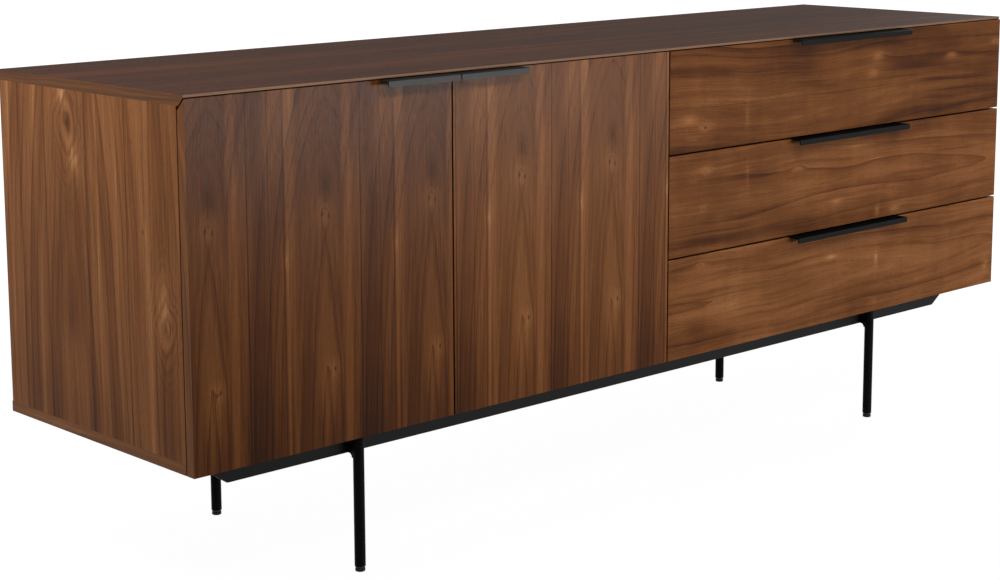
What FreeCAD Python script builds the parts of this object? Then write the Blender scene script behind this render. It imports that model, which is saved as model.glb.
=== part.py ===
import FreeCAD, Part
import os
import Sketcher

# Office credenza: a walnut case on a slim black steel base, with two hinged doors on the
# left and three drawers on the right.  X runs along the front, Y from front to back and Z up.
# The origin is on the floor, under the middle of the whole outline, handles included.

doc = FreeCAD.newDocument("credenza")
Vector = FreeCAD.Vector

# ---------------------------------------------------------------- driving dimensions (mm)
SIZES = [
    ("width", 1800, "overall width"),
    ("depth", 460, "face of the fronts to the back edge of the top"),
    ("height", 710, "floor to the top surface"),
    ("base_height", 212, "floor to the underside of the case"),
    ("board", 15, "thickness of the case boards"),
    ("front_thick", 16, "thickness of the doors and drawer fronts"),
    ("front_gap", 3, "gap between neighbouring fronts"),
    ("buffer_gap", 2, "gap between the fronts and the case edges"),
    ("side_step", 2, "top and bottom stand proud of the sides at the back"),
    ("lip_setback", 2, "lip of the top behind the face of the fronts"),
    ("lip_thick", 3.5, "upright face left on the mitred lip of the top"),
    ("mitre_gap", 3.5, "upright gap between the mitre of the top and of the fronts"),
    ("door_bay", 900, "left end to the middle of the divider"),
    ("back_board", 8, "thickness of the back panel"),
    ("back_inset", 10, "back panel in from the back edges of the sides"),
    ("dowel_radius", 4, "wooden dowels between the case boards"),
    ("dowel_length", 30, "length of a dowel"),
    ("dowel_bite", 10, "dowel length inside the top and bottom"),
    ("dowel_inset", 40, "outer dowels in from the board edges"),
    ("shelf_front", 30, "shelf back from the front edges of the case"),
    ("shelf_play", 1, "shelf clear of the boards beside and behind it"),
    ("shelf_level", 226, "bottom panel to the underside of the shelf"),
    ("pin_radius", 2.5, "shelf pins and their holes"),
    ("pin_length", 16, "length of a shelf pin"),
    ("pin_depth", 8, "depth of a shelf pin in its hole"),
    ("pin_inset", 37, "shelf pin rows in from the board edges"),
    ("pin_pitch", 32, "step between shelf pin holes"),
    ("handle_reach", 20, "handles stand in front of the fronts"),
    ("handle_drop", 9, "height of the turned-down lip of a handle"),
    ("handle_sheet", 1.6, "sheet thickness of a handle"),
    ("handle_flange", 11, "fixing flange of a handle, measured level or upright"),
    ("handle_round", 1.2, "outer bend radius of a handle"),
    ("handle_corner", 2.5, "rounded lower corners of a handle"),
    ("door_handle", 130, "length of a door handle"),
    ("drawer_handle", 302, "length of a drawer handle"),
    ("handle_screw", 1.5, "radius of a handle screw"),
    ("handle_screw_length", 12, "length of a handle screw in a square-edged front"),
    ("mitre_screw_length", 8, "length of a handle screw in a mitred front"),
    ("mitre_screw_spot", 7.7, "handle screw behind the tip of a mitred front"),
    ("handle_screw_inset", 20, "handle screws in from the handle ends"),
    ("hinge_inset", 90, "hinges in from the top and bottom of a door"),
    ("cup_centre", 21.5, "hinge cup centre from the door edge"),
    ("cup_radius", 17.5, "outside radius of a hinge cup"),
    ("cup_depth", 12.5, "depth of a hinge cup"),
    ("cup_wall", 1, "wall of a hinge cup"),
    ("cup_plate", 1.2, "thickness of the cup flange"),
    ("cup_plate_half", 28, "half length of the cup flange"),
    ("cup_plate_near", 14, "near edge of the cup flange from the door edge"),
    ("cup_plate_far", 36, "far edge of the cup flange from the door edge"),
    ("cup_screw_reach", 23, "cup screws above and below the cup centre"),
    ("cup_screw", 1.75, "radius of a cup screw"),
    ("cup_screw_length", 11, "length of a cup screw"),
    ("arm_half", 6, "half height of a hinge arm"),
    ("arm_nose", 3.4, "radius of the nose of a hinge arm"),
    ("arm_nose_in", 32, "nose of a hinge arm from the door edge"),
    ("arm_nose_deep", 3, "nose of a hinge arm below the back of the door"),
    ("arm_neck", 6, "straight inner side of a hinge arm behind its nose"),
    ("arm_neck_outer", 16, "straight outer side of a hinge arm behind its nose"),
    ("arm_crank_outer", 14, "outer bend of a hinge arm behind the inner one"),
    ("arm_length", 54, "hinge arm behind its nose"),
    ("arm_thick", 9, "thickness of the hinge arm on its plate"),
    ("plate_thick", 3, "thickness of a hinge mounting plate"),
    ("plate_near", 20, "mounting plate behind the case edge"),
    ("plate_length", 36, "mounting plate, front to back"),
    ("plate_half", 20, "half height of a mounting plate"),
    ("runner_space", 12.7, "space for a runner beside a drawer box"),
    ("runner_high", 45, "height of the cabinet rail of a runner"),
    ("runner_long", 300, "length of a runner"),
    ("runner_wall", 1.2, "sheet thickness of a runner"),
    ("runner_play", 0.3, "runner rails clear of each other"),
    ("runner_start", 2, "runners behind the front edge of the case"),
    ("box_board", 12, "thickness of the drawer box boards"),
    ("box_head", 27, "drawer box below the upper edge of its front"),
    ("box_long", 350, "length of the drawer box sides"),
    ("box_lift", 25, "drawer box above the lower edge of its front"),
    ("box_bottom", 6, "thickness of the drawer bottom"),
    ("box_groove", 5, "depth of the groove for the drawer bottom"),
    ("box_groove_lift", 8, "drawer bottom above the lower edge of the sides"),
    ("rail_high", 40, "height of the long base rails"),
    ("rail_sheet", 3, "sheet thickness of the base rails"),
    ("rail_flange", 30, "width of the top flange of a base rail"),
    ("rail_inset", 36, "rail ends in from the case ends, at the top"),
    ("rail_taper", 60, "slant of the rail ends, top to bottom"),
    ("rail_round", 6, "rounded lower corners of the rail ends"),
    ("rail_front", 64, "front rail behind the face of the fronts"),
    ("rail_rear", 384, "rear rail behind the face of the fronts"),
    ("cross_thick", 12, "width of the cross rails and leg brackets"),
    ("leg_inset", 310, "leg axis from the case ends"),
    ("leg_offset", 16, "leg axis outside the face of its rail"),
    ("leg_radius", 8, "outside radius of a leg"),
    ("leg_wall", 1.5, "wall of a leg"),
    ("leg_fillet", 6, "hollow radius under a leg bracket"),
    ("foot_radius", 7.3, "radius of a levelling foot"),
    ("foot_high", 5, "height of a levelling foot"),
    ("foot_chamfer", 0.8, "chamfer on a levelling foot"),
    ("foot_gap", 0.3, "levelling foot clear of the threaded bush"),
    ("stud_radius", 4, "stud of a levelling foot"),
    ("stud_play", 0.05, "running clearance of the stud"),
    ("stud_long", 24, "length of the stud"),
    ("bush_rim", 2.4, "rim of the threaded bush below the leg"),
    ("bush_rim_radius", 6.9, "radius of the rim of the threaded bush"),
    ("bush_long", 14, "threaded bush inside the leg"),
    ("screw_radius", 2, "radius of a base screw"),
    ("screw_bite", 11, "base screw inside the bottom panel"),
    ("screw_head", 4, "head radius of a base screw"),
    ("screw_head_high", 2.5, "head height of a base screw"),
    ("screw_inner", 200, "inner base screws from the middle"),
    ("screw_outer", 720, "outer base screws from the middle"),
]

sheet = doc.addObject("Spreadsheet::Sheet", "sizes")
for row, (alias, value, note) in enumerate(SIZES, start=1):
    sheet.set(f"A{row}", note)
    sheet.set(f"B{row}", str(value))
    sheet.setAlias(f"B{row}", alias)
doc.recompute()

# ---------------------------------------------------------------- shared planes, as expressions
LEFT = "(-sizes.width / 2)"
RIGHT = "(sizes.width / 2)"
FRONT = "((sizes.handle_reach - sizes.depth) / 2)"
BACK = f"({FRONT} + sizes.depth)"
FRONT_REAR = f"({FRONT} + sizes.front_thick)"
CASE_FRONT = f"({FRONT_REAR} + sizes.buffer_gap)"
SIDE_BACK = f"({BACK} - sizes.side_step)"
BACK_PANEL = f"({SIDE_BACK} - sizes.back_inset - sizes.back_board)"
UNDERSIDE = "sizes.base_height"
FLOOR = "(sizes.base_height + sizes.board)"
CEILING = "(sizes.height - sizes.board)"
TIP = "(sizes.height - sizes.lip_thick + sizes.lip_setback - sizes.mitre_gap)"
DIVIDER = f"({LEFT} + sizes.door_bay)"
FRONT_HIGH = f"({TIP} - {UNDERSIDE})"
DRAWER_HIGH = f"(({FRONT_HIGH} - 2 * sizes.front_gap) / 3)"
RAIL_BOTTOM = f"({UNDERSIDE} - sizes.rail_high)"


def plus(*terms):
    """The sum of some expressions, as one expression."""
    return "(" + " + ".join(terms) + ")"


def minus(first, second):
    """The difference of two expressions, as one expression."""
    return f"({first} - {second})"


def times(sign, text):
    """An expression with the sign of a mirrored side."""
    return f"({sign} * {text})"


# ---------------------------------------------------------------- building blocks
TURNS = {
    "x": FreeCAD.Rotation(Vector(0, 1, 0), 90),
    "y": FreeCAD.Rotation(Vector(1, 0, 0), -90),
    "z": FreeCAD.Rotation(),
    # outwards from a mitre, up and to the back
    "mitre": FreeCAD.Rotation(Vector(1, 0, 0), -45),
}


def place(thing, x, y, z):
    """Bind the position of an object to three expressions."""
    thing.setExpression("Placement.Base.x", x)
    thing.setExpression("Placement.Base.y", y)
    thing.setExpression("Placement.Base.z", z)
    return thing


def block(name, low, high):
    """A box between two corners given as expressions."""
    box = doc.addObject("Part::Box", name)
    place(box, *low)
    for side, start, end in zip(("Length", "Width", "Height"), low, high):
        box.setExpression(side, minus(end, start))
    return box


def rod(name, start, radius, length, along="z"):
    """A round rod from a start point, along an axis."""
    cylinder = doc.addObject("Part::Cylinder", name)
    cylinder.Placement = FreeCAD.Placement(Vector(), TURNS[along])
    place(cylinder, *start)
    cylinder.setExpression("Radius", radius)
    cylinder.setExpression("Height", length)
    return cylinder


def cut(name, base, *tools):
    """The base with every tool taken away."""
    for number, tool in enumerate(tools):
        left = doc.addObject("Part::Cut", f"{name}_cut{number}")
        left.Base = base
        left.Tool = tool
        base = left
    base.Label = name
    return base


def fuse(name, *pieces):
    """One solid made of touching pieces."""
    joined = doc.addObject("Part::MultiFuse", name)
    joined.Shapes = list(pieces)
    joined.Label = name
    return joined


def group(name, *pieces):
    """Separate solids that share one node."""
    together = doc.addObject("Part::Compound", name)
    together.Links = list(pieces)
    together.Label = name
    return together


def origin_plane(body, role):
    """One of the three base planes of a body."""
    return next(plane for plane in body.Origin.OriginFeatures if plane.Role == role)


def outline(body, name, role, corners):
    """A closed sketch of straight sides, each corner bound to two expressions."""
    sketch = body.newObject("Sketcher::SketchObject", name)
    sketch.AttachmentSupport = [(origin_plane(body, role), "")]
    sketch.MapMode = "FlatFace"
    points = []
    for across, up in corners:
        points.append(Vector(sheet.evalExpression(across), sheet.evalExpression(up), 0))
    count = len(points)
    for number in range(count):
        sketch.addGeometry(Part.LineSegment(points[number], points[(number + 1) % count]), False)
    for number in range(count):
        sketch.addConstraint(Sketcher.Constraint("Coincident", number, 2, (number + 1) % count, 1))
    for number, (across, up) in enumerate(corners):
        bound = (("DistanceX", across, points[number].x), ("DistanceY", up, points[number].y))
        for kind, text, value in bound:
            index = sketch.addConstraint(Sketcher.Constraint(kind, -1, 1, number, 1, value))
            sketch.setExpression(f"Constraints[{index}]", text)
    return sketch


def extrusion(name, role, corners, length, base, backwards=False, centred=False):
    """A body padded from an outline; the outline is measured from the body's own position."""
    body = doc.addObject("PartDesign::Body", name)
    sketch = outline(body, name + "_outline", role, corners)
    pad = body.newObject("PartDesign::Pad", name + "_pad")
    pad.Profile = sketch
    pad.setExpression("Length", length)
    pad.Reversed = backwards
    pad.Midplane = centred
    place(body, *base)
    doc.recompute()
    return body


def round_edges(body, name, radius, spots):
    """Round the edges of a body whose middles are nearest to the spots, in the body's own frame."""
    base = body.Tip
    edges = base.Shape.Edges
    chosen = []
    for spot in spots:
        target = Vector(*[sheet.evalExpression(text) for text in spot])
        gaps = [edge.CenterOfMass.distanceToPoint(target) for edge in edges]
        chosen.append(f"Edge{gaps.index(min(gaps)) + 1}")
    fillet = body.newObject("PartDesign::Fillet", name + "_round")
    fillet.Base = (base, chosen)
    fillet.setExpression("Radius", radius)
    doc.recompute()
    return body


# ---------------------------------------------------------------- dowels
def case_dowels():
    """Dowels that pin each upright board to the top and to the bottom."""
    across = (plus(LEFT, "sizes.board / 2"), DIVIDER, minus(RIGHT, "sizes.board / 2"))
    first = plus(CASE_FRONT, "sizes.dowel_inset")
    last = minus(SIDE_BACK, "sizes.dowel_inset")
    deep = (first, f"(({first} + {last}) / 2)", last)
    low = minus(FLOOR, "sizes.dowel_bite")
    high = plus(CEILING, "sizes.dowel_bite", "-sizes.dowel_length")
    pegs = []
    for x in across:
        for y in deep:
            for z in (low, high):
                pegs.append(rod("dowel", (x, y, z), "sizes.dowel_radius", "sizes.dowel_length"))
    return group("case_dowels", *pegs)


# ---------------------------------------------------------------- shelf and its pins
SHELF_LOW = plus(FLOOR, "sizes.shelf_level")
BAY_LEFT = plus(LEFT, "sizes.board")
BAY_RIGHT = minus(DIVIDER, "sizes.board / 2")
PIN_LEVEL = minus(SHELF_LOW, "sizes.pin_radius")
PIN_ROWS = (plus(CASE_FRONT, "sizes.pin_inset"), minus(BACK_PANEL, "sizes.pin_inset"))
PIN_STARTS = (minus(BAY_LEFT, "sizes.pin_depth"), plus(BAY_RIGHT, "sizes.pin_depth", "-sizes.pin_length"))


def shelf_pin_holes(name, start, length):
    """Two columns of five shelf pin holes in one upright board."""
    holes = []
    for row in PIN_ROWS:
        for step in range(-2, 3):
            level = plus(PIN_LEVEL, f"{step} * sizes.pin_pitch")
            holes.append(rod(name, (start, row, level), "sizes.pin_radius", length, "x"))
    return group(name + "s", *holes)


def shelf_parts():
    """The loose shelf and the four pins that carry it."""
    low = (plus(BAY_LEFT, "sizes.shelf_play"), plus(CASE_FRONT, "sizes.shelf_front"), SHELF_LOW)
    right = minus(BAY_RIGHT, "sizes.shelf_play")
    rear = minus(BACK_PANEL, "sizes.shelf_play")
    high = (right, rear, plus(SHELF_LOW, "sizes.board"))
    shelf = block("shelf", low, high)
    shelf.Label = "shelf"
    pins = []
    for start in PIN_STARTS:
        for row in PIN_ROWS:
            spot = (start, row, PIN_LEVEL)
            pins.append(rod("shelf_pin", spot, "sizes.pin_radius", "sizes.pin_length", "x"))
    return [shelf, group("shelf_pins", *pins)]


# ---------------------------------------------------------------- base screws
def base_screws():
    """Pan-head screws that hold the flanges of the rails up against the bottom panel."""
    flange_low = minus(UNDERSIDE, "sizes.rail_sheet")
    rows = (
        plus(FRONT, "sizes.rail_front", "sizes.rail_flange / 2"),
        plus(FRONT, "sizes.rail_rear", "-sizes.rail_flange / 2"),
    )
    screws = []
    for y in rows:
        for x in ("-sizes.screw_outer", "-sizes.screw_inner", "sizes.screw_inner", "sizes.screw_outer"):
            shank_long = "(sizes.rail_sheet + sizes.screw_bite)"
            shank = rod("base_shank", (x, y, flange_low), "sizes.screw_radius", shank_long)
            head_low = minus(flange_low, "sizes.screw_head_high")
            head = rod("base_head", (x, y, head_low), "sizes.screw_head", "sizes.screw_head_high")
            screws.append(fuse("base_screw", shank, head))
    return group("base_screws", *screws)


# ---------------------------------------------------------------- case boards
def case_parts(dowels, screws):
    """Top with its mitred lip, bottom, sides, divider and back."""
    mitre = "(sizes.board - sizes.lip_thick)"
    top_section = [
        ("sizes.lip_setback", "sizes.board"),
        ("sizes.lip_setback", mitre),
        (f"(sizes.lip_setback + {mitre})", "0"),
        ("sizes.depth", "0"),
        ("sizes.depth", "sizes.board"),
    ]
    top = extrusion("top_board", "YZ_Plane", top_section, "sizes.width", (LEFT, FRONT, CEILING))
    top = cut("top_panel", top, dowels)

    bottom = block("bottom_board", (LEFT, CASE_FRONT, UNDERSIDE), (RIGHT, BACK, FLOOR))
    bottom = cut("bottom_panel", bottom, dowels, screws)

    left = block("left_board", (LEFT, CASE_FRONT, FLOOR), (BAY_LEFT, SIDE_BACK, CEILING))
    left_holes = shelf_pin_holes("left_pin_hole", PIN_STARTS[0], "sizes.pin_depth")
    left = cut("left_side_panel", left, dowels, left_holes)

    right_low = (minus(RIGHT, "sizes.board"), CASE_FRONT, FLOOR)
    right = block("right_board", right_low, (RIGHT, SIDE_BACK, CEILING))
    right = cut("right_side_panel", right, dowels)

    divider_right = plus(DIVIDER, "sizes.board / 2")
    divider = block("divider_board", (BAY_RIGHT, CASE_FRONT, FLOOR), (divider_right, BACK_PANEL, CEILING))
    divider_holes = shelf_pin_holes("divider_pin_hole", BAY_RIGHT, "sizes.pin_depth")
    divider = cut("divider_panel", divider, dowels, divider_holes)

    back_low = (BAY_LEFT, BACK_PANEL, FLOOR)
    back_high = (minus(RIGHT, "sizes.board"), plus(BACK_PANEL, "sizes.back_board"), CEILING)
    back = block("back_panel", back_low, back_high)
    back.Label = "back_panel"
    return [top, bottom, left, right, divider, back]


# ---------------------------------------------------------------- handles
def handle(name, start, length, top, mitred):
    """An edge pull of folded sheet with its two screws.

    The plate lies level with the top of the front and reaches forward, where it turns down.
    Its flange lies on the mitre of the front, or on the back of a square-edged front.
    """
    sheet_t = "sizes.handle_sheet"
    reach = "(-sizes.handle_reach)"
    drop = "(-sizes.handle_drop)"
    lip_inner = plus(reach, sheet_t)
    if mitred:
        end = "sizes.handle_flange"
        slant = f"({sheet_t} / sqrt(2))"
        flange = [
            ("0", "0"),
            (end, times(-1, end)),
            (minus(end, slant), f"(-{end} - {slant})"),
            (f"(-{sheet_t} * (sqrt(2) - 1))", times(-1, sheet_t)),
        ]
    else:
        end = "sizes.front_thick"
        flange = [
            (end, "0"),
            (end, f"(-{sheet_t} - sizes.handle_flange)"),
            (minus(end, sheet_t), f"(-{sheet_t} - sizes.handle_flange)"),
            (minus(end, sheet_t), times(-1, sheet_t)),
        ]
    section = [(reach, drop), (reach, "0")] + flange + [(lip_inner, times(-1, sheet_t)), (lip_inner, drop)]
    body = extrusion(name + "_sheet", "YZ_Plane", section, length, (start, FRONT, top))
    lip_middle = f"({reach} + {sheet_t} / 2)"
    corners = [("0", lip_middle, drop), (length, lip_middle, drop)]
    round_edges(body, name + "_corner", "sizes.handle_corner", corners)
    round_edges(body, name + "_bend", "sizes.handle_round", [(f"({length} / 2)", reach, "0")])

    screws = []
    for x in (plus(start, "sizes.handle_screw_inset"), plus(start, length, "-sizes.handle_screw_inset")):
        if mitred:
            # the screw lies square to the mitre, with its head level with the flange
            spot = "sizes.mitre_screw_spot"
            run = "(sizes.mitre_screw_length / sqrt(2))"
            tip = (x, plus(FRONT, spot, times(-1, run)), f"({top} - {spot} - {run})")
            long = "sizes.mitre_screw_length"
            screws.append(rod(name + "_screw", tip, "sizes.handle_screw", long, "mitre"))
        else:
            level = f"({top} - {sheet_t} - sizes.handle_flange / 2)"
            tip = (x, minus(FRONT_REAR, "sizes.handle_screw_length"), level)
            long = "sizes.handle_screw_length"
            screws.append(rod(name + "_screw", tip, "sizes.handle_screw", long, "y"))
    return body, group(name + "_screws", *screws)


# ---------------------------------------------------------------- doors and their hinges
def door(side, edge, sign, panel_in, handle_start):
    """One door with its handle and hinge cups, and the hinge arms that stay on the case.

    Hinge distances are measured from the hinge edge of the door, inwards along the front,
    and from the back face of the door, towards the inside of the case.
    """
    thick = "sizes.front_thick"
    start = edge if sign > 0 else minus(edge, DOOR_WIDE)
    section = [("0", "0"), ("0", FRONT_HIGH), (thick, minus(FRONT_HIGH, thick)), (thick, "0")]
    panel = extrusion(f"{side}_door_board", "YZ_Plane", section, DOOR_WIDE, (start, FRONT, UNDERSIDE))
    pull, pull_screws = handle(f"{side}_door_handle", handle_start, "sizes.door_handle", TIP, True)

    def inward(distance):
        return f"({edge} + {sign} * {distance})"

    def behind(distance):
        return f"({FRONT_REAR} + {distance})"

    cups, cup_tools, arms, plates = [], [], [], []
    low_hinge = plus(UNDERSIDE, "sizes.hinge_inset")
    high_hinge = minus(TIP, "sizes.hinge_inset")
    for spot, level in (("low", low_hinge), ("high", high_hinge)):
        name = f"{side}_{spot}"
        middle = (inward("sizes.cup_centre"), FRONT_REAR, level)

        # cup: a round steel pot let into the door, with a flange screwed to the door's back
        pot_start = (middle[0], behind("-sizes.cup_depth"), level)
        pot = rod(name + "_pot", pot_start, "sizes.cup_radius", "sizes.cup_depth", "y")
        cup_tools.append(pot)
        sides = (inward("sizes.cup_plate_near"), inward("sizes.cup_plate_far"))
        sides = sorted(sides, key=sheet.evalExpression)
        plate = block(
            name + "_cup_plate",
            (sides[0], FRONT_REAR, minus(level, "sizes.cup_plate_half")),
            (sides[1], behind("sizes.cup_plate"), plus(level, "sizes.cup_plate_half")),
        )
        hollow_start = (middle[0], behind("(sizes.cup_wall - sizes.cup_depth)"), level)
        hollow_long = "(sizes.cup_depth + sizes.cup_plate)"
        hollow = rod(name + "_hollow", hollow_start, "(sizes.cup_radius - sizes.cup_wall)", hollow_long, "y")
        cup_screws = []
        for reach in ("sizes.cup_screw_reach", "(-sizes.cup_screw_reach)"):
            tip = behind("(sizes.cup_plate - sizes.cup_screw_length)")
            screw_start = (middle[0], tip, plus(level, reach))
            screw_long = "sizes.cup_screw_length"
            cup_screws.append(rod(name + "_cup_screw", screw_start, "sizes.cup_screw", screw_long, "y"))
        cup_tools.extend(cup_screws)
        shell = fuse(name + "_shell", pot, plate)
        shell = cut(name + "_cup", shell, hollow, *cup_screws)
        cups.extend([shell] + cup_screws)

        # arm: a round nose that dips into the cup, and a cranked back that lies on its plate
        seat = plus(panel_in, "sizes.plate_thick")
        back = plus(seat, "sizes.arm_thick")
        outer = "(sizes.arm_nose_in + sizes.arm_nose)"
        inner = "(sizes.arm_nose_in - sizes.arm_nose)"
        front = "(-sizes.arm_nose_deep)"
        far = plus(front, "sizes.arm_length")
        crank = plus(front, "sizes.arm_neck", minus(inner, seat))
        arm_corners = [
            (times(sign, inner), front),
            (times(sign, outer), front),
            (times(sign, outer), plus(front, "sizes.arm_neck_outer")),
            (times(sign, back), plus(crank, "sizes.arm_crank_outer")),
            (times(sign, back), far),
            (times(sign, seat), far),
            (times(sign, seat), crank),
            (times(sign, inner), plus(front, "sizes.arm_neck")),
        ]
        arm_base = (edge, FRONT_REAR, minus(level, "sizes.arm_half"))
        arm = extrusion(name + "_arm_bar", "XY_Plane", arm_corners, "(2 * sizes.arm_half)", arm_base)
        nose_start = (inward("sizes.arm_nose_in"), behind(front), minus(level, "sizes.arm_half"))
        nose = rod(name + "_nose", nose_start, "sizes.arm_nose", "(2 * sizes.arm_half)")
        arms.append(fuse(name + "_arm", arm, nose))

        # mounting plate on the upright board
        plate_sides = sorted((inward(panel_in), inward(seat)), key=sheet.evalExpression)
        plate_front = plus(CASE_FRONT, "sizes.plate_near")
        plates.append(
            block(
                name + "_mounting_plate",
                (plate_sides[0], plate_front, minus(level, "sizes.plate_half")),
                (plate_sides[1], plus(plate_front, "sizes.plate_length"), plus(level, "sizes.plate_half")),
            )
        )

    door_panel = cut(f"{side}_door", panel, pull, pull_screws, group(f"{side}_cup_bores", *cup_tools))
    pull = cut(f"{side}_door_pull", pull, pull_screws)
    moving = [
        door_panel,
        group(f"{side}_door_handle", pull, pull_screws),
        group(f"{side}_hinge_cups", *cups),
    ]
    return moving, arms, plates


# ---------------------------------------------------------------- drawers
def channel(name, x, y, z, opening, height, reach):
    """One rolled rail of a runner: a channel that opens to the left (-1) or right (+1)."""
    wall = "sizes.runner_wall"
    corners = [
        ("0", "0"),
        (times(opening, reach), "0"),
        (times(opening, reach), wall),
        (times(opening, wall), wall),
        (times(opening, wall), minus(height, wall)),
        (times(opening, reach), minus(height, wall)),
        (times(opening, reach), height),
        ("0", height),
    ]
    low = minus(z, f"{height} / 2")
    return extrusion(name, "XZ_Plane", corners, "sizes.runner_long", (x, y, low), backwards=True)


def drawer(name, low, mitred):
    """One drawer: front, handle, box and the two telescopic runners beside it."""
    left = plus(DIVIDER, "(sizes.front_gap / 2)")
    top = plus(low, DRAWER_HIGH)
    thick = "sizes.front_thick"
    front_wide = minus(RIGHT, left)
    section = [("0", "0"), ("0", DRAWER_HIGH), (thick, DRAWER_HIGH), (thick, "0")]
    if mitred:
        section[2] = (thick, minus(DRAWER_HIGH, thick))
    front = extrusion(f"{name}_board", "YZ_Plane", section, front_wide, (left, FRONT, low))
    middle = f"(({left} + {RIGHT}) / 2)"
    handle_start = minus(middle, "sizes.drawer_handle / 2")
    pull, pull_screws = handle(f"{name}_handle", handle_start, "sizes.drawer_handle", top, mitred)
    front = cut(f"{name}_front", front, pull, pull_screws)
    pull = cut(f"{name}_pull", pull, pull_screws)
    parts = [front, group(f"{name}_handle", pull, pull_screws)]

    # box of four boards with a grooved-in bottom
    bay_left = plus(DIVIDER, "sizes.board / 2")
    bay_right = minus(RIGHT, "sizes.board")
    box_left = plus(bay_left, "sizes.runner_space")
    box_right = minus(bay_right, "sizes.runner_space")
    box_back = plus(FRONT_REAR, "sizes.box_long")
    box_low = plus(low, "sizes.box_lift")
    box_top = minus(top, "sizes.box_head")
    inner_left = plus(box_left, "sizes.box_board")
    inner_right = minus(box_right, "sizes.box_board")
    bottom_low = plus(box_low, "sizes.box_groove_lift")
    bottom_top = plus(bottom_low, "sizes.box_bottom")
    bottom = block(
        f"{name}_bottom",
        (minus(inner_left, "sizes.box_groove"), FRONT_REAR, bottom_low),
        (plus(inner_right, "sizes.box_groove"), box_back, bottom_top),
    )
    bottom.Label = f"{name}_bottom"
    left_side = block(f"{name}_left_board", (box_left, FRONT_REAR, box_low), (inner_left, box_back, box_top))
    right_low = (inner_right, FRONT_REAR, box_low)
    right_side = block(f"{name}_right_board", right_low, (box_right, box_back, box_top))
    back = block(
        f"{name}_back",
        (inner_left, minus(box_back, "sizes.box_board"), bottom_top),
        (inner_right, box_back, box_top),
    )
    back.Label = f"{name}_back"
    parts.append(cut(f"{name}_left_side", left_side, bottom))
    parts.append(cut(f"{name}_right_side", right_side, bottom))
    parts.extend([back, bottom])

    # runners: a rail on the case, one on the box, and one between that moves half as far
    level = f"(({box_low} + {box_top}) / 2)"
    start = plus(CASE_FRONT, "sizes.runner_start")
    wall, play = "sizes.runner_wall", "sizes.runner_play"
    outer_high = "sizes.runner_high"
    middle_high = f"({outer_high} - 2 * {wall} - 2 * {play})"
    inner_high = f"({middle_high} - 2 * {wall} - 2 * {play})"
    middle_off = plus(wall, play)
    outer_reach = f"(sizes.runner_space - 2 * {wall} - {play})"
    middle_reach = f"(sizes.runner_space - {middle_off} - {wall} - {play})"
    inner_reach = f"(sizes.runner_space - {middle_off} - {wall} - {play})"
    cabinet_rails, middle_rails, box_rails = [], [], []
    for side, face, opening in (("left", bay_left, 1), ("right", bay_right, -1)):
        middle_x = f"({face} + {opening} * {middle_off})"
        box_x = f"({face} + {opening} * sizes.runner_space)"
        tag = f"{name}_{side}"
        outer = channel(tag + "_case_rail", face, start, level, opening, outer_high, outer_reach)
        moving = channel(tag + "_mid_rail", middle_x, start, level, opening, middle_high, middle_reach)
        inner = channel(tag + "_box_rail", box_x, start, level, -opening, inner_high, inner_reach)
        cabinet_rails.append(outer)
        middle_rails.append(moving)
        box_rails.append(inner)
    parts.append(group(f"{name}_box_rails", *box_rails))
    parts.append(group(f"{name}_middle_rails", *middle_rails))
    return parts, cabinet_rails


# ---------------------------------------------------------------- steel base
def base_rail(name, face, inward, screws):
    """A long angle with slanted ends: an upright web at its face and a flange under the case."""
    long_top = "(sizes.width - 2 * sizes.rail_inset)"
    high = "sizes.rail_high"
    web_corners = [
        ("0", high),
        (long_top, high),
        (f"({long_top} - sizes.rail_taper)", "0"),
        ("sizes.rail_taper", "0"),
    ]
    start = plus(LEFT, "sizes.rail_inset")
    # the web stands on the inner side of its face
    web_front = face if inward > 0 else minus(face, "sizes.rail_sheet")
    base = (start, web_front, RAIL_BOTTOM)
    web = extrusion(name + "_web", "XZ_Plane", web_corners, "sizes.rail_sheet", base, backwards=True)
    middle = "(sizes.rail_sheet / 2)"
    ends = [("sizes.rail_taper", middle, "0"), (f"({long_top} - sizes.rail_taper)", middle, "0")]
    round_edges(web, name + "_end", "sizes.rail_round", ends)
    edges = sorted((face, f"({face} + {inward} * sizes.rail_flange)"), key=sheet.evalExpression)
    flange_low = (start, edges[0], minus(UNDERSIDE, "sizes.rail_sheet"))
    flange = block(name + "_flange", flange_low, (plus(start, long_top), edges[1], UNDERSIDE))
    return cut(name, fuse(name + "_angle", web, flange), screws)


def cross_rail(name, x):
    """A flat bar between the two long rails, under their flanges."""
    half = "sizes.cross_thick / 2"
    front = plus(FRONT, "sizes.rail_front", "sizes.rail_sheet")
    rear = plus(FRONT, "sizes.rail_rear", "-sizes.rail_sheet")
    top = minus(UNDERSIDE, "sizes.rail_sheet")
    bar = block(name, (minus(x, half), front, RAIL_BOTTOM), (plus(x, half), rear, top))
    bar.Label = name
    return bar


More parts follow.
